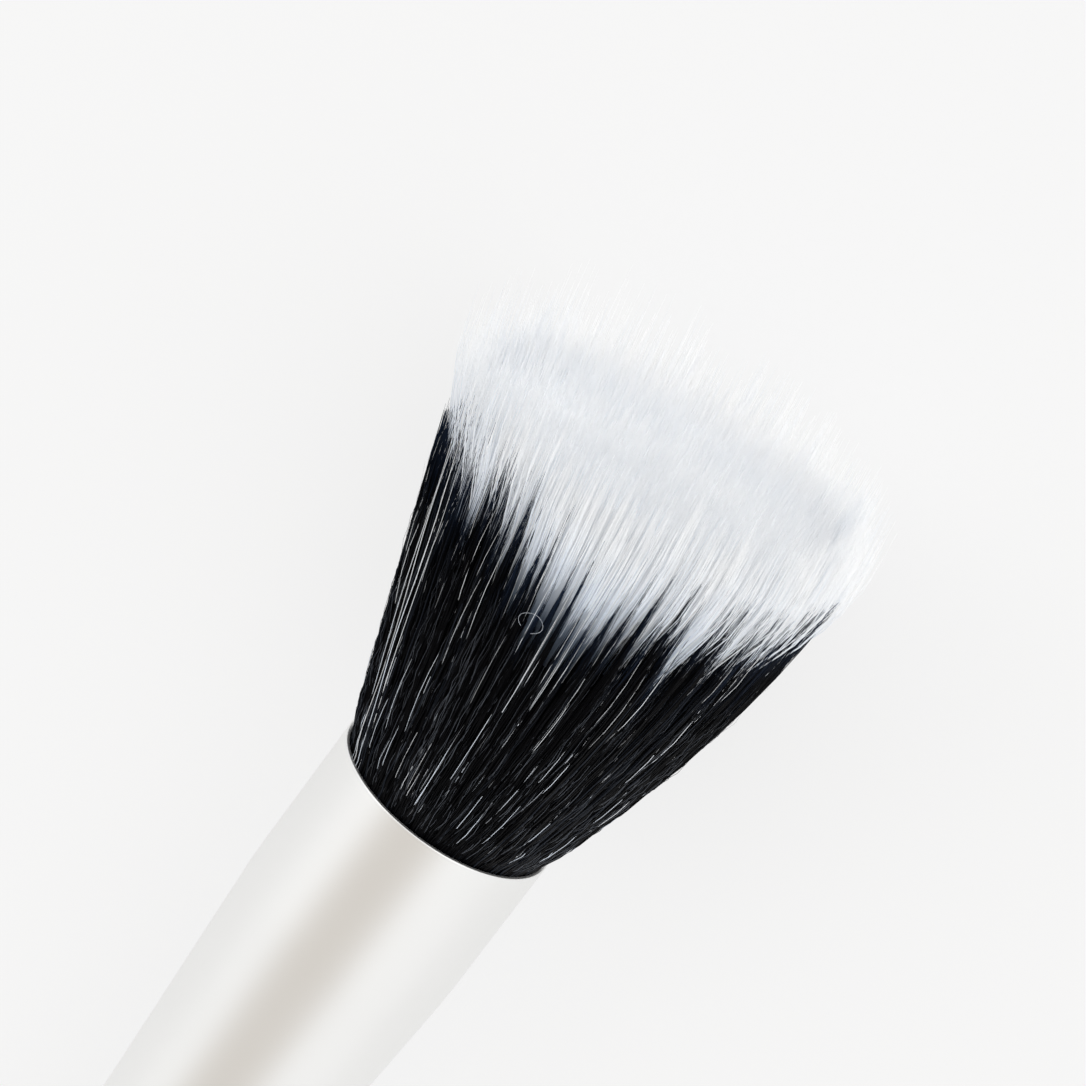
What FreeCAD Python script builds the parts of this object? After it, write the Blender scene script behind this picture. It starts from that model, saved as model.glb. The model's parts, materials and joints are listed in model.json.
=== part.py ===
import FreeCAD, Part
import math
import os
import random
import re
import Sketcher
from FreeCAD import Vector

# Stippling brush, lying on its side on a table.
# Each piece is drawn in the brush's own frame: the origin is the centre of the handle's tail end,
# and +Z runs along the brush to the tips of the fibres. One common placement then lays it down
# along +X, so that the tail's rounding and the soft head touch the table. The brush's own +X faces
# the table there, and its own +Y stays the row's +Y.

document = FreeCAD.newDocument("stippling_brush")

# Driving dimensions, in millimetres unless a line says otherwise
DIMENSIONS = {
    # Handle and ferrule
    "mouth_height": 130.0,      # tail end to the ferrule's mouth
    "mouth_radius": 10.0,       # outside of the ferrule at its mouth
    "straight_length": 14.9,    # cylindrical stretch below the mouth
    "shoulder_rounding": 60.0,  # soft change from that cylinder to the long taper
    "ferrule_length": 45.0,
    "ferrule_wall": 0.4,
    "lip_rounding": 0.12,       # broken edge of the mouth
    "tail_radius": 3.9,         # where the taper would meet the tail end
    "tail_rounding": 3.3,
    "tenon_length": 14.0,       # part of the handle inside the ferrule
    "tenon_clearance": 0.05,
    "tenon_chamfer": 0.8,
    # Glue plug
    "plug_depth": 7.0,          # mouth to the top of the plug, where the fibres come out of it
    "plug_length": 6.0,
    "bond_clearance": 0.02,
    # Head of fibres
    "fibre_length": 38.0,       # mouth to the mean height of the longest tips
    "fibre_clearance": 0.1,     # between the bundle and the ferrule's bore
    "head_radius": 18.9,        # at the tips
    "flare_power": 1.35,        # 1 is a straight cone, more curls in towards the tips
    "mouth_bulge": 0.35,        # the bundle swells as it leaves the ferrule
    "mouth_bulge_reach": 1.0,
    "head_lean": 3.2,           # sideways offset of the head at its tips
    "tip_skew": 2.2,            # the tips are longer on the side away from the lean, by this
    "black_length": 31.2,       # mouth to the mean height of the black tips
    "black_skew": 1.8,          # how much longer the black is on the side away from the lean
    "black_dip": 4.8,           # how much shorter it is on the upper side
    "black_layer": 3.6,         # thickness of the black layer at the mouth
    "layer_clearance": 0.05,    # between the black and the white fibres
    "clump_count": 38,
    "clump_relief": 0.28,       # depth of the grooves between clumps, at the tips
    "black_spike": 4.5,         # from a gap between clumps to a clump's tip
    "white_spike": 3.2,
    "crown_spike": 1.3,         # the same on top of the head
    "crown_dome": 0.8,
    "flat_spot_depth": 1.2,     # how far the soft head gives where it lies on the table
}

sizes = document.addObject("Spreadsheet::Sheet", "sizes")
for row, (alias, number) in enumerate(DIMENSIONS.items(), start=1):
    sizes.set(f"A{row}", alias)
    sizes.set(f"B{row}", str(number))
    sizes.setAlias(f"B{row}", alias)
document.recompute()


def size(expression):
    """Number that an expression of the sheet's names stands for."""
    return float(sizes.evalExpression(expression))


# Sketches, turned about the brush's axis

TAPER = "(mouth_radius - tail_radius) / (mouth_height - straight_length)"
TAPER_START = "(mouth_height - straight_length)"
FERRULE_END = "(mouth_height - ferrule_length)"


def taper_radius(height):
    """Expression for the outer radius of the taper at a height above the tail."""
    return f"tail_radius + {TAPER} * ({height})"


def in_sheet(expression):
    """The same expression as another object has to write it."""
    return re.sub("[a-z_]+", r"sizes.\g<0>", expression)


def rounded_corner(before, corner, after, radius):
    """Arc that rounds a corner, its ends on the lines before and after it, and the end it starts at."""
    back = (before - corner).normalize()
    ahead = (after - corner).normalize()
    half_angle = back.getAngle(ahead) / 2
    reach = radius / math.tan(half_angle)
    centre = corner + (back + ahead).normalize() * (radius / math.sin(half_angle))
    ends = [corner + back * reach, corner + ahead * reach]
    turns_left = back.cross(ahead).z < 0
    first, last = ends if turns_left else reversed(ends)
    angles = [math.atan2(point.y - centre.y, point.x - centre.x) for point in (first, last)]
    if angles[1] < angles[0]:
        angles[1] += 2 * math.pi
    arc = Part.ArcOfCircle(Part.Circle(centre, Vector(0, 0, 1), radius), *angles)
    return arc, ends, turns_left


def bind(sketch, kind, places, expression):
    """Constraint whose value follows an expression of the sheet."""
    rule = Sketcher.Constraint(kind, *places, size(expression))
    constraint = sketch.addConstraint(rule)
    sketch.setExpression(f"Constraints[{constraint}]", in_sheet(expression))


def hold_point(sketch, geometry, radius, height):
    """Ties the first point of some geometry to its radius and height."""
    axes = (("DistanceX", radius, -2), ("DistanceY", height, -1))
    for direction, expression, axis in axes:
        if size(expression) == 0:
            sketch.addConstraint(Sketcher.Constraint("PointOnObject", geometry, 1, axis))
        else:
            bind(sketch, direction, (-1, 1, geometry, 1), expression)


def turned_body(label, corners):
    """Body turned about its Z axis from a closed outline.

    Each corner is a pair of expressions, radius and height, and a rounded corner has a third.
    """
    body = document.addObject("PartDesign::Body", label)
    body.Label = label
    plane = next(face for face in body.Origin.OriginFeatures if face.Role == "XZ_Plane")
    sketch = body.newObject("Sketcher::SketchObject", f"{label}_outline")
    sketch.AttachmentSupport = [(plane, "")]
    sketch.MapMode = "FlatFace"
    points = [Vector(size(corner[0]), size(corner[1]), 0) for corner in corners]
    count = len(points)
    arcs = {}
    for number, corner in enumerate(corners):
        if len(corner) == 3:
            after = points[(number + 1) % count]
            arcs[number] = rounded_corner(points[number - 1], points[number], after, size(corner[2]))
    for number, point in enumerate(points):
        following = (number + 1) % count
        start = arcs[number][1][1] if number in arcs else point
        end = arcs[following][1][0] if following in arcs else points[following]
        sketch.addGeometry(Part.LineSegment(start, end), False)
    for number, corner in enumerate(corners):
        line_in = (number - 1) % count
        if number not in arcs:
            sketch.addConstraint(Sketcher.Constraint("Coincident", line_in, 2, number, 1))
            hold_point(sketch, number, corner[0], corner[1])
            continue
        shape, ends, turns_left = arcs[number]
        arc = sketch.addGeometry(shape, False)
        first_end, second_end = (1, 2) if turns_left else (2, 1)
        sharp = sketch.addGeometry(Part.Point(points[number]), True)
        sketch.addConstraint(Sketcher.Constraint("Tangent", line_in, 2, arc, first_end))
        sketch.addConstraint(Sketcher.Constraint("Tangent", arc, second_end, number, 1))
        sketch.addConstraint(Sketcher.Constraint("PointOnObject", sharp, 1, line_in))
        sketch.addConstraint(Sketcher.Constraint("PointOnObject", sharp, 1, number))
        hold_point(sketch, sharp, corner[0], corner[1])
        bind(sketch, "Radius", (arc,), corner[2])
    turn = body.newObject("PartDesign::Revolution", f"{label}_turned")
    turn.Profile = sketch
    turn.ReferenceAxis = (sketch, ["V_Axis"])
    turn.Angle = 360
    document.recompute()
    return body


def ring_edges(shape, height, smallest=0.0):
    """Names of the circular edges at a height, from a smallest radius up."""
    names = []
    for number, edge in enumerate(shape.Edges, start=1):
        if not isinstance(edge.Curve, Part.Circle):
            continue
        if abs(edge.Curve.Center.z - height) < 1e-4 and edge.Curve.Radius > smallest:
            names.append(f"Edge{number}")
    return names


def dress_edges(body, kind, name, edges, sheet_name):
    """Fillet or chamfer on the body's tip, with its size bound to the sheet."""
    base = body.Tip
    dressed = body.newObject(kind, name)
    dressed.Base = (base, edges)
    property_name = "Radius" if kind == "PartDesign::Fillet" else "Size"
    dressed.setExpression(property_name, in_sheet(sheet_name))
    document.recompute()
    return dressed


# Ferrule: a drawn tube of even wall, straight at the mouth, then tapering to the handle

ferrule = turned_body("ferrule", [
    ("mouth_radius", "mouth_height"),
    ("mouth_radius", TAPER_START, "shoulder_rounding"),
    (taper_radius(FERRULE_END), FERRULE_END),
    (taper_radius(FERRULE_END) + " - ferrule_wall", FERRULE_END),
    ("mouth_radius - ferrule_wall", TAPER_START, "shoulder_rounding - ferrule_wall"),
    ("mouth_radius - ferrule_wall", "mouth_height"),
])
dress_edges(ferrule, "PartDesign::Fillet", "ferrule_lip",
            ring_edges(ferrule.Shape, size("mouth_height")), "lip_rounding")

# Handle: the taper goes on to a rounded tail, and a tenon reaches up into the ferrule

BORE_AT_END = taper_radius(FERRULE_END) + " - ferrule_wall"
TENON_TOP = FERRULE_END + " + tenon_length"
TENON_TOP_RADIUS = taper_radius(TENON_TOP) + " - ferrule_wall - tenon_clearance"
handle = turned_body("handle", [
    ("0", "0"),
    ("tail_radius", "0"),
    (taper_radius(FERRULE_END), FERRULE_END),
    (BORE_AT_END + " - tenon_clearance", FERRULE_END),
    (TENON_TOP_RADIUS, TENON_TOP),
    ("0", TENON_TOP),
])
dress_edges(handle, "PartDesign::Fillet", "handle_tail",
            ring_edges(handle.Shape, 0.0), "tail_rounding")
dress_edges(handle, "PartDesign::Chamfer", "tenon_lead",
            ring_edges(handle.Shape, size(TENON_TOP)), "tenon_chamfer")

# Glue plug: a disc of epoxy across the bore, under the roots of the fibres

glue_plug = document.addObject("Part::Cylinder", "glue_plug")
glue_plug.Label = "glue_plug"
glue_plug.setExpression("Radius", in_sheet("mouth_radius - ferrule_wall - bond_clearance"))
glue_plug.setExpression("Height", in_sheet("plug_length"))

# Head of fibres: one closed solid for each colour, with clumps down its side and spiky tips

MOUTH = size("mouth_height")
BUNDLE_RADIUS = size("mouth_radius - ferrule_wall - fibre_clearance")
ROOT = -size("plug_depth")
LENGTH = size("fibre_length")
CLUMPS = int(size("clump_count"))
COLUMNS = 2 * CLUMPS
UNEVEN = random.Random(5)
BLACK_TIP_JITTER = [UNEVEN.uniform(-1, 1) for column in range(COLUMNS)]
WHITE_TIP_JITTER = [UNEVEN.uniform(-1, 1) for column in range(COLUMNS)]


def column_angle(column, columns=COLUMNS):
    """Direction of a column of points, from the side that faces the table."""
    return 2 * math.pi * column / columns


def flare(above_mouth):
    """Radius of the whole bundle at a height above the mouth."""
    if above_mouth <= 0:
        return BUNDLE_RADIUS
    share = min(above_mouth / LENGTH, 1.0)
    spread = 1 - (1 - share) ** size("flare_power")
    swell = 1 - math.exp(-above_mouth / size("mouth_bulge_reach"))
    widening = size("head_radius") - BUNDLE_RADIUS - size("mouth_bulge")
    return BUNDLE_RADIUS + widening * spread + size("mouth_bulge") * swell


def lean(above_mouth):
    """Sideways offset of the bundle's centre at a height above the mouth."""
    return size("head_lean") * (max(above_mouth, 0.0) / LENGTH) ** 2


def lying_tilt():
    """Angle of the brush's axis to the table, and the height of the tail end's centre above it."""
    rounding = size("tail_rounding")
    slope = math.atan(size(TAPER))
    ring = size("tail_radius") + rounding * math.tan(slope) - rounding / math.cos(slope)
    heights = [LENGTH * step / 60 for step in range(61)]
    low, high = 0.0, math.radians(30)
    for halving in range(50):
        tilt = (low + high) / 2
        tail_height = ring * math.cos(tilt) + rounding - rounding * math.sin(tilt)
        lowest = min(tail_height + (MOUTH + above) * math.sin(tilt) - flare(above) * math.cos(tilt)
                     for above in heights)
        if lowest < -size("flat_spot_depth"):
            low = tilt
        else:
            high = tilt
    return tilt, tail_height


TILT, TAIL_HEIGHT = lying_tilt()


def table_reach(above_mouth):
    """Distance from the brush's axis down to the table at a height above the mouth."""
    return (TAIL_HEIGHT + (MOUTH + above_mouth) * math.sin(TILT)) / math.cos(TILT)


def outline_radius(angle, above_mouth, ridge):
    """Outside of the bundle: its flare, the grooves between clumps and the flat spot."""
    relief = size("clump_relief") * max(above_mouth, 0.0) / LENGTH
    radius = flare(above_mouth) + relief * (0.5 if ridge else -0.5)
    if math.cos(angle) > 0.2:
        radius = min(radius, table_reach(above_mouth) / math.cos(angle))
    return radius


def black_tip(column, columns=COLUMNS):
    """Height of the black layer's edge above the mouth: a clump's tip or the gap beside it."""
    angle = column_angle(column, columns)
    upper_side = max(-math.cos(angle), 0.0) ** 2.5
    height = size("black_length - black_spike / 2")
    height -= size("black_skew") * math.sin(angle) + size("black_dip") * upper_side
    if column % 2:
        height += size("black_spike")
    return height + 0.35 * size("black_spike") * BLACK_TIP_JITTER[column]


def black_share(column, above_mouth):
    """Thickness of the black layer at a column, as a share of the bundle's radius."""
    tip = black_tip(column)
    share = size("black_layer") / BUNDLE_RADIUS
    return share * max(0.0, 1 - max(above_mouth, 0.0) / tip)


def fibre_point(angle, above_mouth, radius):
    """Point of the head, in the brush's frame."""
    across = Vector(radius * math.cos(angle), radius * math.sin(angle), 0)
    return across + Vector(0, lean(above_mouth), MOUTH + above_mouth)


class RingSurface:
    """Closed surface of triangles strung between rings of points."""

    def __init__(self):
        self.points = []
        self.facets = []

    def ring(self, points):
        """Adds a ring of points and gives their numbers."""
        first = len(self.points)
        self.points.extend(points)
        return list(range(first, len(self.points)))

    def join(self, outer, inner, downward=False):
        """Strip of triangles between two rings, the inner with as many points or half as many.

        A downward strip splits its squares the way that the upward one beside it does.
        """
        halved = len(outer) == 2 * len(inner)
        count = len(inner)
        for here in range(count):
            there = (here + 1) % count
            if halved:
                first = outer[2 * here]
                middle = outer[2 * here + 1]
                last = outer[(2 * here + 2) % len(outer)]
                self.facets.append((first, middle, inner[here]))
                self.facets.append((middle, last, inner[there]))
                self.facets.append((middle, inner[there], inner[here]))
            elif downward:
                self.facets.append((outer[here], outer[there], inner[there]))
                self.facets.append((outer[here], inner[there], inner[here]))
            else:
                self.facets.append((outer[here], outer[there], inner[here]))
                self.facets.append((outer[there], inner[there], inner[here]))

    def close(self, ring, point, upward):
        """Fan of triangles from a ring to one point."""
        centre = self.ring([point])[0]
        for here, start in enumerate(ring):
            end = ring[(here + 1) % len(ring)]
            self.facets.append((start, end, centre) if upward else (end, start, centre))

    def solid(self):
        """Solid that the surface encloses."""
        faces = []
        for corners in self.facets:
            outline = Part.makePolygon([self.points[corner] for corner in corners + corners[:1]])
            faces.append(Part.Face(outline))
        shell = Part.makeShell(faces)
        shell.sewShape()
        return Part.makeSolid(Part.Shell(shell.Faces))


def root_levels(tip):
    """Heights above the mouth of a column's points, from its root to below its tip."""
    return [ROOT, 0.0, 0.6, 0.16 * tip, 0.38 * tip, 0.62 * tip, 0.84 * tip]


def black_layer():
    """Skirt of black fibres: a layer that thins out to the tips of its clumps."""
    surface = RingSurface()
    columns = range(COLUMNS)
    levels = [root_levels(black_tip(column)) for column in columns]

    def ring_at(level, inside):
        points = []
        for column in columns:
            angle = column_angle(column)
            above = levels[column][level]
            radius = outline_radius(angle, above, column % 2)
            if inside:
                radius *= 1 - black_share(column, above)
            points.append(fibre_point(angle, above, radius))
        return surface.ring(points)

    outside = [ring_at(level, False) for level in range(len(levels[0]))]
    tips = []
    for column in columns:
        angle = column_angle(column)
        above = black_tip(column)
        tips.append(fibre_point(angle, above, outline_radius(angle, above, column % 2)))
    edge = surface.ring(tips)
    inside = [ring_at(level, True) for level in range(len(levels[0]))]
    for lower, upper in zip(outside, outside[1:] + [edge]):
        surface.join(lower, upper)
    for lower, upper in zip(inside, inside[1:] + [edge]):
        surface.join(upper, lower, downward=True)
    surface.join(inside[0], outside[0])
    return surface.solid()


def white_tip(column):
    """Height of the crown's rim above the mouth: a spike's tip or the gap beside it."""
    angle = column_angle(column)
    height = LENGTH - size("tip_skew") * math.sin(angle)
    height += size("white_spike") * (0.5 if column % 2 else -0.5)
    return height + 0.3 * size("white_spike") * WHITE_TIP_JITTER[column]


def white_core():
    """White fibres: they fill the inside of the black layer and fan out above it as the crown."""
    surface = RingSurface()
    columns = range(COLUMNS)

    def side_ring(heights):
        points = []
        for column in columns:
            angle = column_angle(column)
            above = heights[column]
            radius = outline_radius(angle, above, column % 2)
            if above < black_tip(column) + 0.3:
                radius *= 1 - black_share(column, above)
                radius -= size("layer_clearance")
            points.append(fibre_point(angle, above, radius))
        return surface.ring(points)

    levels = [root_levels(black_tip(column)) for column in columns]
    rings = [side_ring([levels[column][level] for column in columns])
             for level in range(len(levels[0]))]
    rings.append(side_ring([black_tip(column) for column in columns]))
    rings.append(side_ring([(black_tip(column) + 2 * white_tip(column)) / 3 for column in columns]))
    rim = side_ring([white_tip(column) for column in columns])
    rings.append(rim)
    surface.close(rings[0], fibre_point(0, ROOT, 0), False)
    for lower, upper in zip(rings, rings[1:]):
        surface.join(lower, upper)

    outer = rim
    columns_here = COLUMNS
    for ring_number, share in enumerate((0.86, 0.70, 0.53, 0.36, 0.18)):
        if ring_number in (1, 3):
            columns_here = columns_here // 2
        points = []
        for column in range(columns_here):
            angle = column_angle(column, columns_here)
            above = LENGTH - size("tip_skew") * share * math.sin(angle)
            above += size("crown_dome") * (1 - share ** 2)
            spike = 0.5 if (column + ring_number) % 2 else -0.5
            above += size("crown_spike") * (spike + UNEVEN.uniform(-0.4, 0.4))
            radius = outline_radius(angle, LENGTH, False) * share
            points.append(fibre_point(angle, above, radius))
        inner = surface.ring(points)
        surface.join(outer, inner)
        outer = inner
    surface.close(outer, fibre_point(0, LENGTH + size("crown_dome"), 0), True)
    return surface.solid()


black_fibres = document.addObject("Part::Feature", "black_fibres")
black_fibres.Label = "black_fibres"
black_fibres.Shape = black_layer()
white_fibres = document.addObject("Part::Feature", "white_fibres")
white_fibres.Label = "white_fibres"
white_fibres.Shape = white_core()

# The brush lies down: the same placement for every piece, with the middle of its box over the origin

pieces = [ferrule, handle, glue_plug, black_fibres, white_fibres]
LAY_DOWN = FreeCAD.Rotation(Vector(0, 1, 0), 90 - math.degrees(TILT))


def lay(piece, base):
    """Places a piece, with the tail end's centre at the base point."""
    own_place = Vector(0, 0, 0)
    if piece is glue_plug:
        own_place = Vector(0, 0, size("mouth_height - plug_depth - plug_length"))
    piece.Placement = FreeCAD.Placement(base + LAY_DOWN.multVec(own_place), LAY_DOWN)


for piece in pieces:
    lay(piece, Vector(0, 0, TAIL_HEIGHT))
document.recompute()
whole = FreeCAD.BoundBox()
for piece in pieces:
    whole.add(piece.Shape.optimalBoundingBox(False))
for piece in pieces:
    lay(piece, Vector(-whole.Center.x, -whole.Center.y, TAIL_HEIGHT))
document.recompute()

# Every object is sound before anything is written

for item in document.Objects:
    if "Invalid" in item.State or "Error" in item.State:
        raise RuntimeError(f"{item.Name} did not build: {item.State}")
for piece in pieces:
    if piece.Shape.isNull() or not piece.Shape.isValid() or piece.Shape.Volume <= 0:
        raise RuntimeError(f"{piece.Label} is not a sound solid")

print(f"tilt {math.degrees(TILT):.3f} degrees, box {whole}")
os.makedirs("parts", exist_ok=True)
for piece in pieces:
    piece.Shape.exportStep(f"parts/{piece.Label}.step")
    print(f"{piece.Label}: {piece.Shape.Volume:.1f} mm3, {len(piece.Shape.Solids)} solid")
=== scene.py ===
import json
import math

import bpy
from mathutils import Matrix, Vector


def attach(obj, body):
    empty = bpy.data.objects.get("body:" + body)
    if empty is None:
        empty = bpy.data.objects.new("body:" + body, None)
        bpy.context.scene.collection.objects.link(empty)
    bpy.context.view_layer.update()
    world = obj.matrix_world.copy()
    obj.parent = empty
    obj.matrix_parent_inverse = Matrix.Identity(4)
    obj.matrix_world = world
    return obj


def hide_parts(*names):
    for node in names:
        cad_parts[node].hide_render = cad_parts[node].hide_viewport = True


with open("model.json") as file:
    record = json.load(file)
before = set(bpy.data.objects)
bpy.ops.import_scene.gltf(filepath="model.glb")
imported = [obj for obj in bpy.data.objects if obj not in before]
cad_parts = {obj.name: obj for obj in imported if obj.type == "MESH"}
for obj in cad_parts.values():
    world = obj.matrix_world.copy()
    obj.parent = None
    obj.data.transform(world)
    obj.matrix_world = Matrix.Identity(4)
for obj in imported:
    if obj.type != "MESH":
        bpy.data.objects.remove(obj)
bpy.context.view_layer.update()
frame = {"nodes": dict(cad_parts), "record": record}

# Ferrule: a drawn aluminium tube, satin anodised to a pearl silver-white. Its mouth is cut square and the
# edge is broken, so a fine bright line runs round it. The fibres are glued into it, and the handle behind.

MM = 0.001
GRAIN_SCALE = 9000.0
GRAIN_DEPTH = 0.002 * MM
GRAIN_STRENGTH = 0.35
CLOUD_SCALE = 120.0
CLOUD_SHADE = 0.97
CLOUD_ROUGHNESS = 0.06
PEARL_METAL = 0.82


def add_node(tree, kind, settings=None, inputs=None):
    """Adds a node, with its settings first and then the values or links of its sockets."""
    node = tree.nodes.new(kind)
    for name, setting in (settings or {}).items():
        setattr(node, name, setting)
    for key, value in (inputs or {}).items():
        if isinstance(value, Sum):
            tree.links.new(value.socket, node.inputs[key])
        elif isinstance(value, bpy.types.NodeSocket):
            tree.links.new(value, node.inputs[key])
        else:
            node.inputs[key].default_value = value
    return node


class Sum:
    """A socket that takes part in Python sums. Each step adds its Math node to the socket's tree."""

    def __init__(self, tree, socket):
        self.tree = tree
        self.socket = socket

    def maths(self, operation, *others):
        return self.other_maths(operation, self, *others)

    def other_maths(self, operation, *values):
        settings = {"operation": operation}
        node = add_node(self.tree, "ShaderNodeMath", settings, dict(enumerate(values)))
        return Sum(self.tree, node.outputs[0])

    def __add__(self, other):
        return self.maths("ADD", other)

    def __radd__(self, other):
        return self.other_maths("ADD", other, self)

    def __sub__(self, other):
        return self.maths("SUBTRACT", other)

    def __rsub__(self, other):
        return self.other_maths("SUBTRACT", other, self)

    def __mul__(self, other):
        return self.maths("MULTIPLY", other)

    def __rmul__(self, other):
        return self.other_maths("MULTIPLY", other, self)

    def __truediv__(self, other):
        return self.maths("DIVIDE", other)

    def __pow__(self, other):
        return self.maths("POWER", other)

    def __rpow__(self, other):
        return self.other_maths("POWER", other, self)


def new_material(name):
    """Material with an empty Principled shader. Gives the material, its tree and the shader."""
    material = bpy.data.materials.new(name)
    material.use_nodes = True
    tree = material.node_tree
    shader = next(node for node in tree.nodes if node.type == "BSDF_PRINCIPLED")
    return material, tree, shader


def noise(tree, vector, scale, detail=3.0):
    """Noise texture's value, about 0.5 on average."""
    inputs = {"Vector": vector, "Scale": scale, "Detail": detail}
    return Sum(tree, add_node(tree, "ShaderNodeTexNoise", None, inputs).outputs[0])


def blend_colours(tree, factor, first, second):
    """Colour between two, by a factor."""
    node = add_node(tree, "ShaderNodeMix", {"data_type": "RGBA"}, {0: factor, 6: first, 7: second})
    return node.outputs[2]


def bump(tree, height, distance, strength):
    """Normal bent by a height field."""
    inputs = {"Strength": strength, "Distance": distance, "Height": height}
    return add_node(tree, "ShaderNodeBump", None, inputs).outputs[0]


# The brush's own frame, from the straight band of the ferrule: the mouth's centre, the way to the tips, the
# way down to the table and the side that the head leans to.
band = next(mount for mount in frame["record"]["mounts"] if mount["name"] == "ferrule_band")
MOUTH_LIP = 0.12 * MM
TO_TIPS = -Vector(band["axis"]).normalized()
TO_LEAN = Vector((0, 1, 0))
TO_TABLE = TO_LEAN.cross(TO_TIPS)
MOUTH = Vector(band["pos_m"]) + TO_TIPS * (band["dims"]["length_mm"] / 2 * MM + MOUTH_LIP)
MOUTH_RADIUS = band["dims"]["r_mm"]


def satin_silver(name, tint, roughness):
    """Pearl silver-white satin: metal with a fine grain and faint clouds under a thin film."""
    material, tree, shader = new_material(name)
    place = add_node(tree, "ShaderNodeTexCoord").outputs["Object"]
    grain = noise(tree, place, GRAIN_SCALE, detail=2.0)
    cloud = noise(tree, place, CLOUD_SCALE)
    shade = [channel * CLOUD_SHADE for channel in tint[:3]] + [1.0]
    colour = blend_colours(tree, cloud, tint, shade)
    dull = roughness - CLOUD_ROUGHNESS / 2 + CLOUD_ROUGHNESS * cloud
    tree.links.new(colour, shader.inputs["Base Color"])
    tree.links.new(dull.socket, shader.inputs["Roughness"])
    tree.links.new(bump(tree, grain, GRAIN_DEPTH, GRAIN_STRENGTH), shader.inputs["Normal"])
    shader.inputs["Metallic"].default_value = PEARL_METAL
    return material


FERRULE_TINT = (0.88, 0.88, 0.87, 1.0)
FERRULE_ROUGHNESS = 0.36
ferrule = frame["nodes"]["ferrule"]
ferrule.data.materials.clear()
ferrule.data.materials.append(satin_silver("satin_anodised_ferrule", FERRULE_TINT, FERRULE_ROUGHNESS))

# Handle: turned wood under the same satin silver-white, a touch softer in its shine. It goes on from the
# ferrule with the same taper, to a rounded tail, and is glued into the ferrule by its tenon.

HANDLE_TINT = (0.87, 0.87, 0.86, 1.0)
HANDLE_ROUGHNESS = 0.42
handle = frame["nodes"]["handle"]
handle.data.materials.clear()
handle.data.materials.append(satin_silver("satin_lacquered_handle", HANDLE_TINT, HANDLE_ROUGHNESS))

# Glue plug: amber epoxy, poured across the ferrule's bore round the roots of the fibres, which it holds once
# it has set. It doesn't show.

EPOXY = (0.52, 0.34, 0.12, 1.0)
EPOXY_DARK = (0.36, 0.21, 0.06, 1.0)
EPOXY_CLOUDS = 400.0
EPOXY_ROUGHNESS = 0.3
epoxy, epoxy_tree, epoxy_shader = new_material("amber_epoxy")
epoxy_place = add_node(epoxy_tree, "ShaderNodeTexCoord").outputs["Object"]
epoxy_colour = blend_colours(epoxy_tree, noise(epoxy_tree, epoxy_place, EPOXY_CLOUDS), EPOXY, EPOXY_DARK)
epoxy_tree.links.new(epoxy_colour, epoxy_shader.inputs["Base Color"])
epoxy_shader.inputs["Roughness"].default_value = EPOXY_ROUGHNESS
plug = frame["nodes"]["glue_plug"]
plug.data.materials.clear()
plug.data.materials.append(epoxy)

# Black fibres: thousands of fine black filaments, wavy where they leave the ferrule and straighter towards
# their tips, which draw together in pointed clumps. They are shorter on the upper side than at the sides.

FIBRE_LENGTH = 38.0
WALL_AND_GAP = 0.5
BUNDLE_RADIUS = MOUTH_RADIUS - WALL_AND_GAP
HEAD_RADIUS = 18.9
FLARE_POWER = 1.35
MOUTH_BULGE = 0.35
MOUTH_BULGE_REACH = 1.0
HEAD_LEAN = 3.2
TABLE_GIVE = 1.6
TABLE_SOFT = 1.0
LOWEST = 0.06
LEVELS = 24
KINDS = 5
VARIANTS = KINDS * LEVELS


def larger(value, least):
    """The larger of two, for a number or a socket."""
    return value.maths("MAXIMUM", least) if isinstance(value, Sum) else max(value, least)


def smaller(value, most):
    """The smaller of two, for a number or a socket."""
    return value.maths("MINIMUM", most) if isinstance(value, Sum) else min(value, most)


def flare(height):
    """Radius of the whole bundle at a height above the mouth, both in millimetres."""
    above = larger(height, 0.0)
    share = smaller(above / FIBRE_LENGTH, 0.9999)
    spread = 1 - (1 - share) ** FLARE_POWER
    swell = 1 - math.e ** (above / -MOUTH_BULGE_REACH)
    return BUNDLE_RADIUS + (HEAD_RADIUS - BUNDLE_RADIUS - MOUTH_BULGE) * spread + MOUTH_BULGE * swell


def lean(height):
    """Sideways offset of the bundle's centre at a height above the mouth."""
    return HEAD_LEAN * (larger(height, 0.0) / FIBRE_LENGTH) ** 2


def row_place(down, side, height):
    """Place in the row frame of a point of the head, in metres, kept just above the table."""
    squeeze = 1 - (TABLE_SOFT - LOWEST) / (TABLE_SOFT + TABLE_GIVE)
    place = []
    for axis in range(3):
        part = down * (TO_TABLE[axis] * MM) + height * (TO_TIPS[axis] * MM)
        part = side * (TO_LEAN[axis] * MM) + part + MOUTH[axis]
        place.append(part)
    below = larger(TABLE_SOFT * MM - place[2], 0.0)
    place[2] = larger(place[2] + below * squeeze, LOWEST * MM)
    return place


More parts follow.
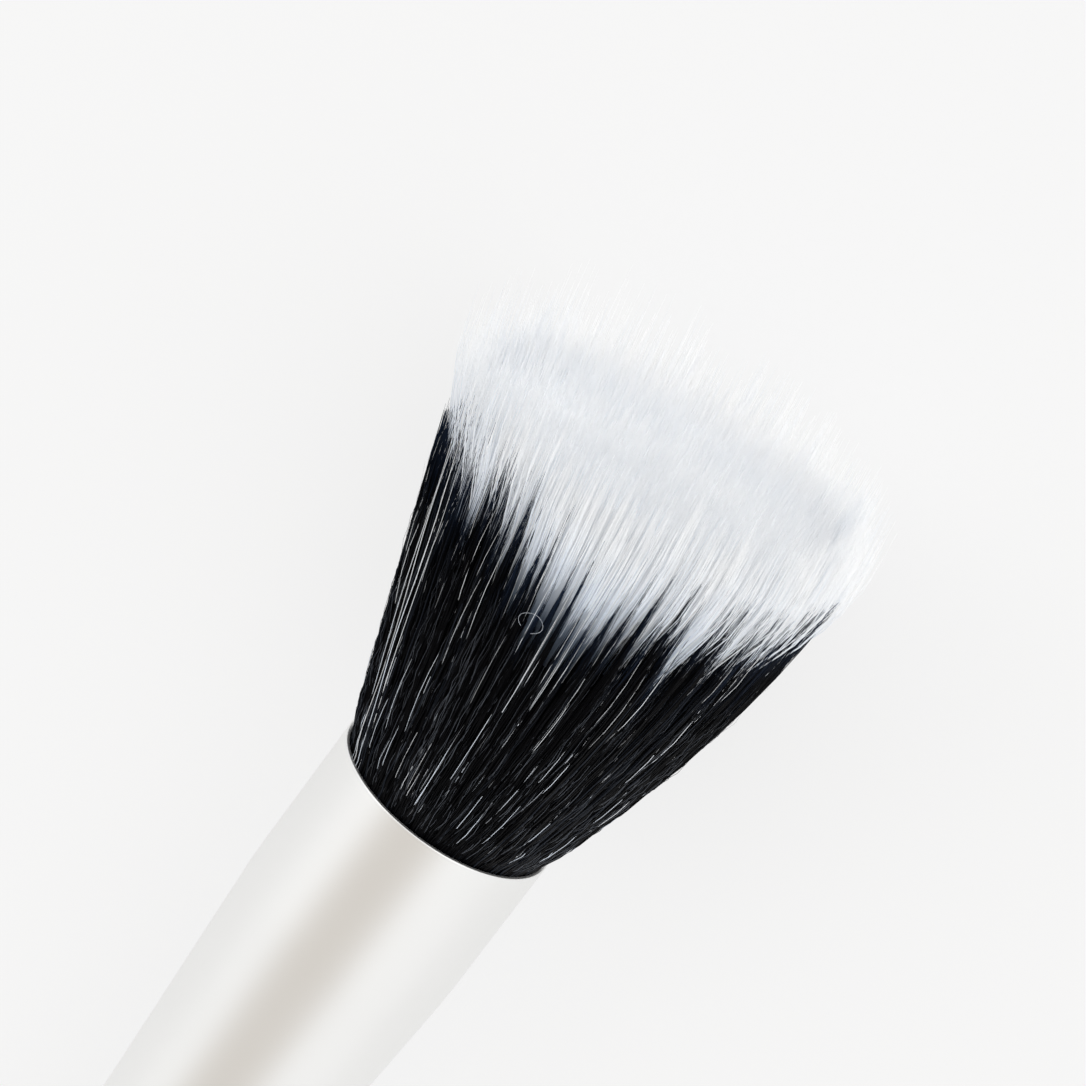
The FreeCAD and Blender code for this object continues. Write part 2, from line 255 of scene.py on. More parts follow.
FIBRE_INPUTS = (
    ("Count", "NodeSocketInt"),
    ("Points", "NodeSocketInt"),
    ("Seed", "NodeSocketInt"),
    ("First turn", "NodeSocketFloat"),
    ("Turn cut", "NodeSocketFloat"),
    ("Inner share", "NodeSocketFloat"),
    ("Outer share", "NodeSocketFloat"),
    ("Root", "NodeSocketFloat"),
    ("Root packing", "NodeSocketFloat"),
    ("Tip", "NodeSocketFloat"),
    ("Skew", "NodeSocketFloat"),
    ("Edge drop", "NodeSocketFloat"),
    ("Dip", "NodeSocketFloat"),
    ("Under drop", "NodeSocketFloat"),
    ("Dome", "NodeSocketFloat"),
    ("Uneven", "NodeSocketFloat"),
    ("Reach", "NodeSocketFloat"),
    ("Longest", "NodeSocketFloat"),
    ("Clumps", "NodeSocketFloat"),
    ("Clump spike", "NodeSocketFloat"),
    ("Clump uneven", "NodeSocketFloat"),
    ("Locks", "NodeSocketFloat"),
    ("Lock pull", "NodeSocketFloat"),
    ("Lock uneven", "NodeSocketFloat"),
    ("Stray", "NodeSocketFloat"),
    ("Tuck", "NodeSocketFloat"),
    ("Tuck height", "NodeSocketFloat"),
    ("Weave", "NodeSocketFloat"),
    ("Weave length", "NodeSocketFloat"),
    ("Wave", "NodeSocketFloat"),
    ("Wave length", "NodeSocketFloat"),
    ("Thickness", "NodeSocketFloat"),
    ("Material", "NodeSocketMaterial"),
)


# What every fibre shares. Lengths are in millimetres, and a bend is the power that a share is raised to.
GOLDEN = 0.61803399
TURN_JITTER = 0.02
GROUP_JITTER = 0.3
LOCK_BEND = 4
UNDER_BEND = 0.6
EDGE_BEND = 10
DIP_BEND = 2
DIP_SPREAD = 1.3
REACH_BEND = 4
LOCK_REACH_BEND = 3
CAP_DROP = 0.8
CAP_JITTER = 1.0
FREE_FROM = 0.1
FREE_BY = 3.0
WAVE_FADE = 0.6
WAVE_LENGTH_SPREAD = (0.75, 1.4)
WAVE_LEAST = 0.3
RADIAL_PACE = 4.1
RADIAL_SHARE = 0.5
ANY_PHASE = 6.28
GIRTH_SPREAD = (0.8, 1.15)
TAPER_RATE = 2.5
TAPER_END = 0.15
TUBE_SIDES = 3
MAP_START = 0.15
MAP_STEP = 0.35


def fibre_tree():
    """Geometry nodes that grow a bundle of fibres in the shape of the head."""
    tree = bpy.data.node_groups.new("fibre_bundle", "GeometryNodeTree")
    for name, kind in FIBRE_INPUTS:
        tree.interface.new_socket(name, in_out="INPUT", socket_type=kind)
    tree.interface.new_socket("Geometry", in_out="OUTPUT", socket_type="NodeSocketGeometry")
    entry = add_node(tree, "NodeGroupInput")
    ask = {name: Sum(tree, entry.outputs[name]) for name, kind in FIBRE_INPUTS}

    index = Sum(tree, add_node(tree, "GeometryNodeInputIndex").outputs[0])
    fibre = (index / ask["Points"]).maths("FLOOR")
    along = (index - fibre * ask["Points"]) / (ask["Points"] - 1)

    def chance(number, low, high, who=fibre):
        """Random number of each fibre, or of whatever else is given."""
        inputs = {"Min": low, "Max": high, "ID": who, "Seed": ask["Seed"] + number}
        node = add_node(tree, "FunctionNodeRandomValue", {"data_type": "FLOAT"})
        floats = [socket for socket in node.inputs if socket.enabled]
        for socket, key in zip(floats, ("Min", "Max", "ID", "Seed")):
            value = inputs[key]
            if isinstance(value, Sum):
                tree.links.new(value.socket, socket)
            else:
                socket.default_value = value
        return Sum(tree, next(socket for socket in node.outputs if socket.enabled))

    # Where a fibre stands in the bundle, and its clump
    turn = (fibre * GOLDEN + chance(1, 0.0, TURN_JITTER)).maths("FRACT")
    turn = (ask["First turn"] + turn * (1 - ask["Turn cut"])).maths("FRACT")
    inner = ask["Inner share"] ** 2
    outer = ask["Outer share"] ** 2
    share = (inner + (outer - inner) * chance(2, 0.0, 1.0)) ** 0.5

    def group_of(count, number):
        """A fibre's group among so many round the bundle, and the way to the group's middle."""
        group = (turn * ask[count]).maths("FLOOR")
        middle = (group + 0.5 + chance(number, -GROUP_JITTER, GROUP_JITTER, group)) / ask[count]
        return group, middle - turn

    clump, to_clump = group_of("Clumps", 3)
    lock, to_lock = group_of("Locks", 17)
    off_clump = (to_clump * ask["Clumps"]).maths("ABSOLUTE")
    off_lock = (to_lock * ask["Locks"]).maths("ABSOLUTE")
    start_angle = turn * (2 * math.pi)
    angle = start_angle + to_lock * (2 * math.pi) * ask["Lock pull"] * along ** LOCK_BEND

    # How long it is
    cosine = start_angle.maths("COSINE")
    sine = start_angle.maths("SINE")
    under_drop = larger(cosine, 0.0) ** UNDER_BEND * ask["Under drop"]
    drop = under_drop + larger(sine, 0.0) ** EDGE_BEND * ask["Edge drop"]
    dip = smaller(larger(-DIP_SPREAD * cosine, 0.0), 1.0) ** DIP_BEND * ask["Dip"]
    tip = ask["Tip"] - ask["Skew"] * share * sine - dip - drop
    tip = tip + ask["Dome"] * (1 - share * share)
    tip = tip - ask["Clump spike"] * off_clump + ask["Clump uneven"] * chance(4, -1.0, 1.0, clump)
    tip = tip + ask["Lock uneven"] * (chance(18, -1.0, 1.0, lock) - off_lock)
    tip = tip + ask["Uneven"] * (chance(5, -1.0, 1.0) + chance(6, -1.0, 1.0)) * 0.5
    reach = chance(16, 0.0, 1.0) ** REACH_BEND + chance(19, 0.0, 1.0, lock) ** LOCK_REACH_BEND
    tip = tip + ask["Reach"] * reach
    tip = smaller(tip, ask["Longest"] - CAP_DROP * drop + chance(20, -CAP_JITTER, 0.0))
    height = ask["Root"] + (tip - ask["Root"]) * along ** ask["Root packing"]

    # Its line: out with the flare, astray a little, and wavy
    drift = ask["Stray"] * along
    tuck = ask["Tuck"] * larger(1 - height / ask["Tuck height"], 0.0)
    radius = flare(height) * share * (1 - tuck) + drift * chance(7, -1.0, 1.0)
    free = smaller(larger(height, 0.0) / FREE_BY + FREE_FROM, 1.0)
    weave_turn = height / ask["Weave length"] * (2 * math.pi) + chance(15, 0.0, ANY_PHASE)
    radius = radius + ask["Weave"] * free * weave_turn.maths("SINE")
    rest = 1 - WAVE_FADE * smaller(larger(height, 0.0) / FIBRE_LENGTH, 1.0)
    length = ask["Wave length"] * chance(8, *WAVE_LENGTH_SPREAD)
    wave = (height / length * (2 * math.pi) + chance(9, 0.0, ANY_PHASE)).maths("SINE")
    side_step = ask["Wave"] * rest * wave * chance(10, WAVE_LEAST, 1.0) + drift * chance(11, -1.0, 1.0)
    radial_wave = (height / length * RADIAL_PACE + chance(12, 0.0, ANY_PHASE)).maths("SINE")
    radius = radius + ask["Wave"] * RADIAL_SHARE * rest * free * radial_wave
    down = radius * angle.maths("COSINE") - side_step * angle.maths("SINE")
    side = radius * angle.maths("SINE") + side_step * angle.maths("COSINE") + lean(height)
    place = row_place(down, side, height)
    position = add_node(tree, "ShaderNodeCombineXYZ", None, dict(enumerate(place))).outputs[0]

    # Points strung into curves, and a thin tapering tube along each
    inputs = {"Count": ask["Count"] * ask["Points"], "Position": position}
    points = add_node(tree, "GeometryNodePoints", None, inputs).outputs[0]

    def store(geometry, name, value, data_type="FLOAT", domain="POINT"):
        """Geometry that carries a value under a name."""
        settings = {"data_type": data_type, "domain": domain}
        inputs = {"Geometry": geometry, "Name": name}
        node = add_node(tree, "GeometryNodeStoreNamedAttribute", settings, inputs)
        sockets = [socket for socket in node.inputs if socket.name == "Value" and socket.enabled]
        link = value.socket if isinstance(value, Sum) else value
        tree.links.new(link, sockets[0])
        return node.outputs[0]

    def stored(name):
        """Value that the geometry carries under a name."""
        node = add_node(tree, "GeometryNodeInputNamedAttribute", {"data_type": "FLOAT"}, {"Name": name})
        return Sum(tree, next(socket for socket in node.outputs if socket.enabled))

    points = store(points, "along", along)
    kind = chance(13, 0.0, KINDS - 0.001).maths("FLOOR")
    lowness = smaller(larger(share * cosine * 0.5 + 0.5, 0.0), 0.999)
    points = store(points, "variant", kind * LEVELS + (lowness * LEVELS).maths("FLOOR"))
    points = store(points, "girth", ask["Thickness"] * chance(14, *GIRTH_SPREAD) * (MM / 2))
    inputs = {"Points": points, "Curve Group ID": fibre, "Weight": along}
    curves = add_node(tree, "GeometryNodePointsToCurves", None, inputs).outputs[0]
    taper = smaller((1 - stored("along")) * TAPER_RATE + TAPER_END, 1.0)
    girth = stored("girth") * taper
    inputs = {"Resolution": TUBE_SIDES, "Radius": 1.0}
    profile = add_node(tree, "GeometryNodeCurvePrimitiveCircle", {"mode": "RADIUS"}, inputs).outputs[0]
    profile = store(profile, "side", index)
    inputs = {"Curve": curves, "Profile Curve": profile, "Scale": girth, "Fill Caps": True}
    tubes = add_node(tree, "GeometryNodeCurveToMesh", None, inputs).outputs[0]

    # A colour map: a fibre's variant across, and the way from its root to its tip up
    across = (stored("variant") + MAP_START + stored("side") * MAP_STEP) / VARIANTS
    map_place = add_node(tree, "ShaderNodeCombineXYZ", None, {0: across, 1: stored("along")}).outputs[0]
    tubes = store(tubes, "OFBake", map_place, "FLOAT2", "CORNER")
    for name in ("along", "variant", "girth", "side"):
        inputs = {"Geometry": tubes, "Name": name}
        tubes = add_node(tree, "GeometryNodeRemoveAttribute", None, inputs).outputs[0]
    tubes = add_node(tree, "GeometryNodeRealizeInstances", None, {"Geometry": tubes}).outputs[0]
    inputs = {"Geometry": tubes, "Material": ask["Material"]}
    dressed = add_node(tree, "GeometryNodeSetMaterial", None, inputs).outputs[0]
    add_node(tree, "NodeGroupOutput", None, {0: dressed})
    return tree


FIBRE_TREE = fibre_tree()


def grow_fibres(name, material, **asked):
    """Grows a bundle of fibres and gives it as a plain mesh object."""
    holder = bpy.data.objects.new(name + "_grower", bpy.data.meshes.new(name + "_grower"))
    bpy.context.scene.collection.objects.link(holder)
    modifier = holder.modifiers.new("fibres", "NODES")
    modifier.node_group = FIBRE_TREE
    items = FIBRE_TREE.interface.items_tree
    sockets = {item.name: item.identifier for item in items if item.in_out == "INPUT"}
    for key, value in asked.items():
        modifier[sockets[key.replace("_", " ").capitalize()]] = value
    modifier[sockets["Material"]] = material
    bpy.context.view_layer.update()
    graph = bpy.context.evaluated_depsgraph_get()
    mesh = bpy.data.meshes.new_from_object(holder.evaluated_get(graph))
    bpy.data.objects.remove(holder)
    mesh.name = name
    mesh.polygons.foreach_set("use_smooth", [True] * len(mesh.polygons))
    piece = bpy.data.objects.new(name, mesh)
    bpy.context.scene.collection.objects.link(piece)
    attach(piece, "root")
    return piece


GLOW_STRENGTH = 0.4
TABLE_LIGHT = (1.0, 0.97, 0.94, 1.0)
UNLIT = (0.0, 0.0, 0.0, 1.0)


def fibre_material(name, root, tip, odd, odd_share, tip_from, roughness, shine, glow=0.0, tip_glow=0.0,
                   table_glow=0.0, tip_full=1.001):
    """Fibre colour by its variant and by the way along it. A share of the variants is of another colour.
    The glow is painted light: an emission that stands for light that comes through the fibre, with more
    painted light on the side of the head that is low by the pale table."""
    material, tree, shader = new_material(name)
    place = add_node(tree, "ShaderNodeUVMap", {"uv_map": "OFBake"}).outputs[0]
    split = add_node(tree, "ShaderNodeSeparateXYZ", None, {0: place})
    variant = (Sum(tree, split.outputs[0]) * VARIANTS).maths("FLOOR")
    along = Sum(tree, split.outputs[1])
    dice = add_node(tree, "ShaderNodeTexWhiteNoise", {"noise_dimensions": "1D"}, {"W": variant}).outputs[0]
    is_odd = Sum(tree, dice).maths("LESS_THAN", odd_share)
    near_tip = smaller(larger((along - tip_from) / (tip_full - tip_from), 0.0), 1.0)
    colour = blend_colours(tree, near_tip, root, tip)
    colour = blend_colours(tree, is_odd, colour, odd)
    tree.links.new(colour, shader.inputs["Base Color"])
    shader.inputs["Roughness"].default_value = roughness
    shader.inputs["Specular IOR Level"].default_value = shine
    # Painted glow: brighter towards the tip, and brighter still on the table side low in the head.
    if tip_glow:
        under = (variant - (variant / LEVELS).maths("FLOOR") * LEVELS + 0.5) / LEVELS
        level = ((tip_glow + (table_glow - tip_glow) * under - glow) * near_tip + glow) / GLOW_STRENGTH
        light = blend_colours(tree, under, tip, TABLE_LIGHT)
        tree.links.new(blend_colours(tree, level, UNLIT, light), shader.inputs["Emission Color"])
        shader.inputs["Emission Strength"].default_value = GLOW_STRENGTH
    return material


# Painted glints: a tenth of the black fibres are painted a faint bluish grey, and a set of thin fibres a
# lighter grey. They stand for the shine of the black filaments.
BLACK = (0.0012, 0.0012, 0.002, 1.0)
SLATE = (0.014, 0.025, 0.052, 1.0)
FAINT_PAINTED_GLINT = (0.014, 0.017, 0.024, 1.0)
PAINTED_GLINT_GREY = (0.088, 0.097, 0.115, 1.0)
black_fibre = fibre_material(
    "black_fibre", BLACK, SLATE, FAINT_PAINTED_GLINT, odd_share=0.10, tip_from=0.86, roughness=0.35, shine=0.06)
glint_painted_fibre = fibre_material(
    "black_fibre_painted_glint", PAINTED_GLINT_GREY, SLATE, FAINT_PAINTED_GLINT, odd_share=0.35, tip_from=0.9, roughness=0.35, shine=0.1)

black_outer = grow_fibres(
    "black_outer_fibres", black_fibre, count=2450, points=14, seed=11, inner_share=0.935, outer_share=0.99,
    root=-1.5, root_packing=1.5, tip=33.3, skew=0.3, edge_drop=9.4, dip=3.8, under_drop=6.5, uneven=0.5,
    reach=6.0, longest=35.0, clumps=41.0, clump_spike=4.0, clump_uneven=2.0, locks=96.0, lock_pull=0.97,
    lock_uneven=3.4, stray=0.1, tuck_height=1.0, weave_length=1.0, wave=0.15, wave_length=4.0,
    thickness=0.14)
black_inner = grow_fibres(
    "black_inner_fibres", black_fibre, count=6200, points=6, seed=11, inner_share=0.84, outer_share=0.965,
    root=-1.5, root_packing=1.0, tip=32.9, skew=0.3, edge_drop=9.4, dip=3.8, under_drop=6.5, uneven=0.9,
    reach=2.0, longest=34.0, clumps=41.0, clump_spike=4.0, clump_uneven=2.0, locks=96.0, lock_pull=0.9,
    lock_uneven=3.4, stray=0.1, tuck_height=1.0, weave_length=1.0, wave=0.12, wave_length=9.0,
    thickness=0.12)
black_glint_fibres = grow_fibres(
    "black_fibres_painted_glint", glint_painted_fibre, count=850, points=20, seed=71, inner_share=0.95, outer_share=0.985,
    root=-1.5, root_packing=1.3, tip=25.0, skew=0.9, under_drop=2.0, uneven=3.0, longest=34.0, clumps=57.0,
    locks=190.0, stray=0.2, tuck_height=1.0, weave=0.22, weave_length=6.0, wave=0.15, wave_length=4.5,
    thickness=0.05)
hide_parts("black_fibres")

# White fibres: finer and longer, pale and a little see-through. They run up inside the black ones and
# fan out above them as the soft crown, with pointed tips of many lengths.

# Painted shade: the roots of the white fibres are painted darker and bluer than their tips, those of the
# crown only a little. The white fibres also carry a painted glow.
WHITE = (0.68, 0.76, 0.87, 1.0)
CROWN_ROOT = (0.86, 0.885, 0.925, 1.0)
WHITE_TIP = (0.942, 0.95, 0.96, 1.0)
PEARL = (0.80, 0.835, 0.88, 1.0)
FIBRE_GLOW = 0.12
TIP_GLOW = 0.125
TABLE_SIDE_GLOW = 0.24
white_fibre = fibre_material(
    "white_fibre", WHITE, WHITE_TIP, PEARL, odd_share=0.25, tip_from=0.35, tip_full=0.85, roughness=0.4,
    shine=0.4, glow=FIBRE_GLOW, tip_glow=TIP_GLOW, table_glow=TABLE_SIDE_GLOW)
crown_fibre = fibre_material(
    "white_crown_fibre", CROWN_ROOT, WHITE_TIP, PEARL, odd_share=0.25, tip_from=0.3, roughness=0.4,
    shine=0.4, glow=FIBRE_GLOW, tip_glow=TIP_GLOW, table_glow=TABLE_SIDE_GLOW)

white_outer = grow_fibres(
    "white_outer_fibres", white_fibre, count=5400, points=5, seed=31, inner_share=0.88, outer_share=0.965,
    root=20.0, root_packing=1.0, tip=35.0, skew=2.7, edge_drop=2.4, dome=0.8, uneven=3.2, reach=2.2,
    longest=41.5, clumps=84.0, clump_spike=0.3, clump_uneven=0.2, locks=120.0, lock_pull=0.45,
    lock_uneven=0.9, stray=0.16, tuck=0.4, tuck_height=31.5, weave_length=1.0, wave=0.05, wave_length=14.0,
    thickness=0.155)
white_crown = grow_fibres(
    "white_crown_fibres", crown_fibre, count=14000, points=3, seed=47, inner_share=0.0, outer_share=0.93,
    root=30.5, root_packing=1.0, tip=34.6, skew=2.5, edge_drop=0.6, dome=0.8, uneven=1.7, reach=1.0,
    longest=41.0, clumps=84.0, clump_uneven=0.2, locks=260.0, stray=0.1, tuck_height=1.0,
    weave_length=1.0, wave=0.05, wave_length=14.0, thickness=0.12)
white_fringe = grow_fibres(
    "white_fringe_fibres", white_fibre, count=900, points=5, seed=37, inner_share=0.93, outer_share=1.03,
    root=22.0, root_packing=1.0, tip=36.5, skew=2.0, edge_drop=0.6, uneven=3.0, reach=4.2, longest=41.5,
    clumps=84.0, locks=120.0, stray=0.4, tuck=0.5, tuck_height=33.0, weave_length=1.0, wave=0.05,
    wave_length=14.0, thickness=0.09)
white_strays = grow_fibres(
    "white_stray_fibres", white_fibre, count=260, points=18, seed=59, inner_share=0.91, outer_share=0.94,
    root=-1.5, root_packing=1.2, tip=36.0, skew=2.4, uneven=3.0, longest=40.0, clumps=60.0, locks=260.0,
    stray=0.2, tuck_height=1.0, weave=0.8, weave_length=26.0, wave=0.03, wave_length=12.0, thickness=0.056)
white_flank = grow_fibres(
    "white_flank_fibres", white_fibre, count=4, points=24, seed=83, first_turn=0.34, turn_cut=0.97,
    inner_share=0.985, outer_share=1.0, root=-1.5, root_packing=1.2, tip=37.0, skew=2.4, uneven=2.0,
    longest=40.0, clumps=60.0, locks=260.0, stray=0.2, tuck_height=1.0, weave=0.12, weave_length=22.0,
    wave=0.04, wave_length=8.0, thickness=0.08)
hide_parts("white_fibres")

# Loose hair: one white filament that has worked its way out of the bundle. It lies curled on the upper side
# of the head, where the black fibres hold it, and is drawn as a thin three-sided tube along an arc.

CURL_HEIGHT = 24.0
CURL_ANGLE = math.radians(174.3)
CURL_RADIUS = 0.8
CURL_FROM = math.radians(-150.0)
CURL_LIFT = 0.35
CURL_ARC = math.radians(300.0)
CURL_STEPS = 40
CURL_GIRTH = 0.012
CURL_WIDTH = 1.3
CURL_EGG = 0.15
CURL_RISE = 0.08


def loose_curl(name, material):
    """The curled hair as a closed mesh, with its place in the colour map of the fibres."""
    verts = []
    faces = []
    for step in range(CURL_STEPS + 1):
        turned = CURL_FROM + CURL_ARC * step / CURL_STEPS
        reach = CURL_RADIUS * (1 + CURL_EGG * math.sin(2 * turned))
        height = CURL_HEIGHT + reach * math.cos(turned)
        across = reach * math.sin(turned) * CURL_WIDTH
        ring = flare(CURL_HEIGHT) + CURL_LIFT + CURL_RISE * turned
        for corner in range(TUBE_SIDES):
            bend = 2 * math.pi * corner / TUBE_SIDES
            out = ring + CURL_GIRTH * math.cos(bend)
            high = height + CURL_GIRTH * math.sin(bend) * math.cos(turned)
            wide = across + CURL_GIRTH * math.sin(bend) * math.sin(turned)
            down = out * math.cos(CURL_ANGLE) - wide * math.sin(CURL_ANGLE)
            side = out * math.sin(CURL_ANGLE) + wide * math.cos(CURL_ANGLE) + lean(height)
            verts.append(row_place(down, side, high))
    for step in range(CURL_STEPS):
        for corner in range(TUBE_SIDES):
            here = step * TUBE_SIDES + corner
            there = step * TUBE_SIDES + (corner + 1) % TUBE_SIDES
            faces.append((here, there, there + TUBE_SIDES, here + TUBE_SIDES))
    faces.append((2, 1, 0))
    last = CURL_STEPS * TUBE_SIDES
    faces.append((last, last + 1, last + 2))
    mesh = bpy.data.meshes.new(name)
    mesh.from_pydata(verts, [], faces)
    colour_map = mesh.uv_layers.new(name="OFBake")
    for loop in mesh.loops:
        colour_map.data[loop.index].uv = (0.5 / VARIANTS, 0.5)
    mesh.materials.append(material)
    piece = bpy.data.objects.new(name, mesh)
    bpy.context.scene.collection.objects.link(piece)
    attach(piece, "root")
    return piece


white_curl = loose_curl("white_loose_curl", white_fibre)

# Hearts of the bundle: the same black and white filaments where they stand packed, deep inside the head.
# Each is a closed form of its own, and closes the view between the fibres that are grown one by one.

HEART_COLUMNS = 96
SKEW_FROM = 18.0
SKEW_OVER = 18.0
PACKED_ROUGHNESS = 0.9
DARK_SHINE = 0.1
STREAK_STRETCH = 30.0
DARK_STREAKS = 4000.0
PALE_STREAKS = 3000.0
DARK_LEVELS = [(-2.0, 0.95), (0.0, 0.95), (4.0, 0.94), (10.0, 0.93), (16.0, 0.92), (20.0, 0.90), (20.5, 0.6)]
PALE_LEVELS = [(14.0, 0.5), (18.0, 0.80), (22.0, 0.87), (26.0, 0.90), (28.5, 0.915), (30.2, 0.915),
               (32.0, 0.90), (33.2, 0.86), (33.8, 0.72), (34.1, 0.5), (34.2, 0.2)]
PALE_SKEW = 2.4


def heart(name, material, levels, skew=0.0):
    """Closed surface through levels of height and share of the bundle. Its top is skewed as the tips are."""
    verts = []
    faces = []
    columns = HEART_COLUMNS
    for height, share in levels:
        for column in range(columns):
            angle = 2 * math.pi * column / columns
            radius = flare(height) * share
            skewed = smaller(larger((height - SKEW_FROM) / SKEW_OVER, 0.0), 1.0)
            drop = skew * share * math.sin(angle) * skewed
            side = radius * math.sin(angle) + lean(height)
            verts.append(row_place(radius * math.cos(angle), side, height - drop))
    for level in range(len(levels) - 1):
        for column in range(columns):
            here = level * columns + column
            there = level * columns + (column + 1) % columns
            faces.append((here, here + columns, there + columns, there))
    faces.append(tuple(range(columns)))
    last = (len(levels) - 1) * columns
    faces.append(tuple(reversed(range(last, last + columns))))
    mesh = bpy.data.meshes.new(name)
    mesh.from_pydata(verts, [], faces)
    mesh.materials.append(material)
    mesh.polygons.foreach_set("use_smooth", [True] * len(mesh.polygons))
    piece = bpy.data.objects.new(name, mesh)
    bpy.context.scene.collection.objects.link(piece)
    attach(piece, "root")
    return piece


def reach_along(tree, vector, way):
    """How far a vector goes one way."""
    node = add_node(tree, "ShaderNodeVectorMath", {"operation": "DOT_PRODUCT"}, {0: vector, 1: way})
    return Sum(tree, node.outputs[1])


def streaks(tree, scale):
    """Noise drawn out along the brush."""
    place = add_node(tree, "ShaderNodeTexCoord").outputs["Object"]
    back = reach_along(tree, place, TO_TIPS) * (1 / STREAK_STRETCH - 1)
    inputs = {0: TO_TIPS, "Scale": back}
    shift = add_node(tree, "ShaderNodeVectorMath", {"operation": "SCALE"}, inputs).outputs[0]
    drawn = add_node(tree, "ShaderNodeVectorMath", {"operation": "ADD"}, {0: place, 1: shift}).outputs[0]
    return noise(tree, drawn, scale)


dark_heart_material, dark_tree, dark_shader = new_material("packed_black_fibre")
# The packed black is streaked with the faint painted glint.
dark_colour = blend_colours(dark_tree, streaks(dark_tree, DARK_STREAKS), BLACK, FAINT_PAINTED_GLINT)
dark_tree.links.new(dark_colour, dark_shader.inputs["Base Color"])
dark_shader.inputs["Roughness"].default_value = PACKED_ROUGHNESS
dark_shader.inputs["Specular IOR Level"].default_value = DARK_SHINE
dark_heart = heart("black_heart", dark_heart_material, DARK_LEVELS)

# Painted shade: the packed white is painted a dark blue-grey low in the head and clears to white above. Its
# painted glow fades out where the painted shade is.
SHADED = (0.22, 0.28, 0.38, 1.0)
SHADED_TO = 24.0
CLEAR_FROM = 32.0
pale_heart_material, pale_tree, pale_shader = new_material("packed_white_fibre")
pale_place = add_node(pale_tree, "ShaderNodeTexCoord").outputs["Object"]
pale_height = (reach_along(pale_tree, pale_place, TO_TIPS) - MOUTH.dot(TO_TIPS)) / MM
clear = smaller(larger((pale_height - SHADED_TO) / (CLEAR_FROM - SHADED_TO), 0.0), 1.0)
pale_colour = blend_colours(pale_tree, streaks(pale_tree, PALE_STREAKS), WHITE_TIP, PEARL)
pale_colour = blend_colours(pale_tree, clear, SHADED, pale_colour)
pale_light = blend_colours(pale_tree, clear, UNLIT, WHITE_TIP)
pale_tree.links.new(pale_colour, pale_shader.inputs["Base Color"])
pale_tree.links.new(pale_light, pale_shader.inputs["Emission Color"])
pale_shader.inputs["Roughness"].default_value = PACKED_ROUGHNESS
pale_shader.inputs["Emission Strength"].default_value = FIBRE_GLOW
pale_heart = heart("white_heart", pale_heart_material, PALE_LEVELS, PALE_SKEW)

# The table: a plain pale sheet of paper. The camera and the shine of the metal see it as an even near-white,
# and it keeps the brush's soft shadow.

TABLE_WIDTH = 3.0
TABLE_GLOW = (0.94, 0.94, 0.94, 1.0)
TABLE_COLOUR = (0.85, 0.85, 0.85, 1.0)
TABLE_GLOW_SHARE = 0.8
PAPER_ROUGHNESS = 0.9
table_mesh = bpy.data.meshes.new("table")
half = TABLE_WIDTH / 2
table_corners = [(-half, -half, 0), (half, -half, 0), (half, half, 0), (-half, half, 0)]
table_mesh.from_pydata(table_corners, [], [(0, 1, 2, 3)])
table = bpy.data.objects.new("table", table_mesh)
bpy.context.scene.collection.objects.link(table)
paper, paper_tree, paper_shader = new_material("pale_table")
paper_shader.inputs["Base Color"].default_value = TABLE_COLOUR
paper_shader.inputs["Roughness"].default_value = PAPER_ROUGHNESS
paper_shader.inputs["Specular IOR Level"].default_value = 0.0
ray = add_node(paper_tree, "ShaderNodeLightPath")
seen = larger(Sum(paper_tree, ray.outputs["Is Camera Ray"]), Sum(paper_tree, ray.outputs["Is Glossy Ray"]))
seen = larger(seen, Sum(paper_tree, ray.outputs["Is Transmission Ray"]))
glow = add_node(paper_tree, "ShaderNodeEmission", None, {"Color": TABLE_GLOW})
mixed = add_node(paper_tree, "ShaderNodeMixShader", None,
                 {0: seen * TABLE_GLOW_SHARE, 1: paper_shader.outputs[0], 2: glow.outputs[0]})
paper_output = next(node for node in paper_tree.nodes if node.type == "OUTPUT_MATERIAL")
paper_tree.links.new(mixed.outputs[0], paper_output.inputs[0])
table_mesh.materials.append(paper)

# Soft studio light: two large soft boxes above the brush, and an even pale room. A warm gap between the
# boxes shows as the soft grey band along the ferrule and the handle.

HEAD_SPOT = Vector((0.05, 0, 0))
KEY_PLACE = Vector((0.15, -0.55, 0.75))
KEY_SIZE = 0.7
KEY_POWER = 1.0
FILL_PLACE = Vector((0.05, 0.75, 0.65))
FILL_SIZE = 0.6
FILL_POWER = 1.05


def soft_box(name, place, size, power):
    """Square area lamp at a place, aimed at the head of the brush."""
    lamp = bpy.data.lights.new(name, "AREA")
    lamp.shape = "RECTANGLE"
    lamp.size = size
    lamp.size_y = size
    lamp.energy = power
    box = bpy.data.objects.new(name, lamp)
    bpy.context.scene.collection.objects.link(box)
    box.location = place
    box.rotation_euler = (HEAD_SPOT - place).to_track_quat("-Z", "Y").to_euler()


soft_box("key_box", KEY_PLACE, KEY_SIZE, KEY_POWER)
soft_box("fill_box", FILL_PLACE, FILL_SIZE, FILL_POWER)

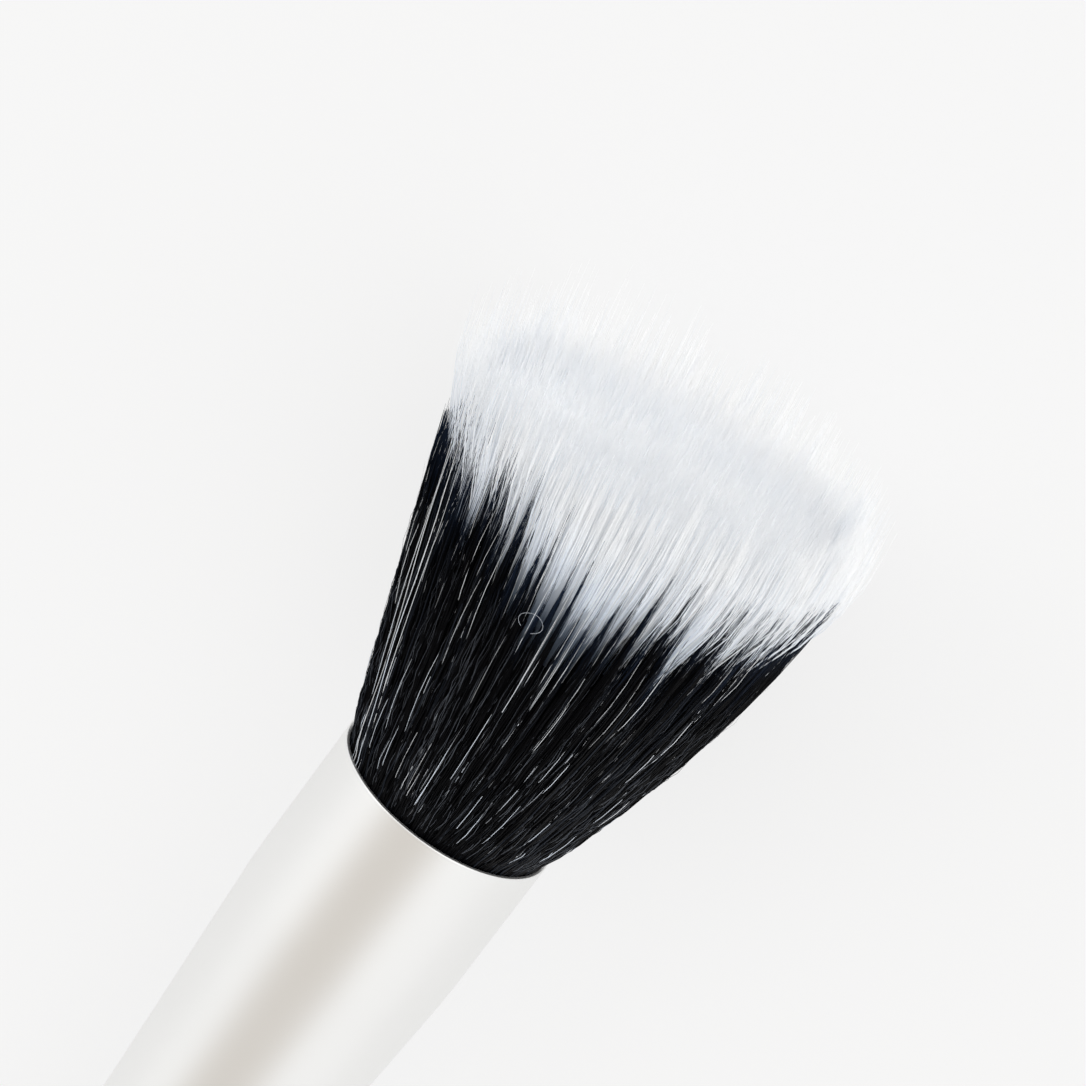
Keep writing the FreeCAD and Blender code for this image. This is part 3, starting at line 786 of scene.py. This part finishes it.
ROOM_STRENGTH = 1.0
ROOM_WHITE = (1.0, 1.0, 1.0, 1.0)
GAP_COLOUR = (0.62, 0.57, 0.51, 1.0)
GAP_BACK = math.radians(27.0)
GAP_ASIDE = math.radians(7.0)
GAP_EDGE = math.cos(math.radians(44.0))
GAP_CORE = math.cos(math.radians(8.0))
gap_way = (-TO_TABLE * math.cos(GAP_BACK) - TO_TIPS * math.sin(GAP_BACK)) * math.cos(GAP_ASIDE)
gap_way = gap_way + TO_LEAN * math.sin(GAP_ASIDE)
world = bpy.data.worlds.new("room")
bpy.context.scene.world = world
world.use_nodes = True
room = world.node_tree
way = add_node(room, "ShaderNodeTexCoord").outputs["Generated"]
in_gap = (reach_along(room, way, gap_way) - GAP_EDGE) / (GAP_CORE - GAP_EDGE)
in_gap = smaller(larger(in_gap, 0.0), 1.0)
in_gap = in_gap * in_gap * (3 - 2 * in_gap)
background = room.nodes["Background"]
room.links.new(blend_colours(room, in_gap, ROOM_WHITE, GAP_COLOUR), background.inputs["Color"])
background.inputs["Strength"].default_value = ROOM_STRENGTH

# The camera stands above the tips and looks back down the brush, which runs up to the right in the picture.
# It turns about the middle of the ferrule's mouth, which keeps its place in the picture.

PICTURE = 1086
SENSOR = 36.0
PIXELS_PER_MM = 12.15
MOUTH_PIXEL = (449.0, 794.5)
TIPS_CLOCKWISE = math.radians(37.0)
CAMERA_LIFT = math.radians(25.5)
CAMERA_DISTANCE = 0.450
FOCAL_PIXELS = PIXELS_PER_MM / MM * CAMERA_DISTANCE

to_camera = -TO_TABLE * math.cos(CAMERA_LIFT) + TO_TIPS * math.sin(CAMERA_LIFT)
look = -to_camera
straight_up = (TO_TIPS - look * TO_TIPS.dot(look)).normalized()
straight_right = look.cross(straight_up)
right = straight_right * math.cos(TIPS_CLOCKWISE) + straight_up * math.sin(TIPS_CLOCKWISE)
up = straight_up * math.cos(TIPS_CLOCKWISE) - straight_right * math.sin(TIPS_CLOCKWISE)
centre = PICTURE / 2
mouth_ray = Vector((MOUTH_PIXEL[0] - centre, centre - MOUTH_PIXEL[1], -FOCAL_PIXELS)).normalized()
aim_turn = mouth_ray.rotation_difference(Vector((0, 0, -1))).to_matrix()
turned = Matrix((right, up, -look)).transposed() @ aim_turn
lens = bpy.data.cameras.new("camera")
lens.sensor_width = SENSOR
lens.lens = SENSOR * FOCAL_PIXELS / PICTURE
lens.clip_start = 0.01
camera = bpy.data.objects.new("camera", lens)
bpy.context.scene.collection.objects.link(camera)
camera.matrix_world = Matrix.Translation(MOUTH + to_camera * CAMERA_DISTANCE) @ turned.to_4x4()
bpy.context.scene.camera = camera
bpy.context.scene.view_settings.view_transform = "Standard"
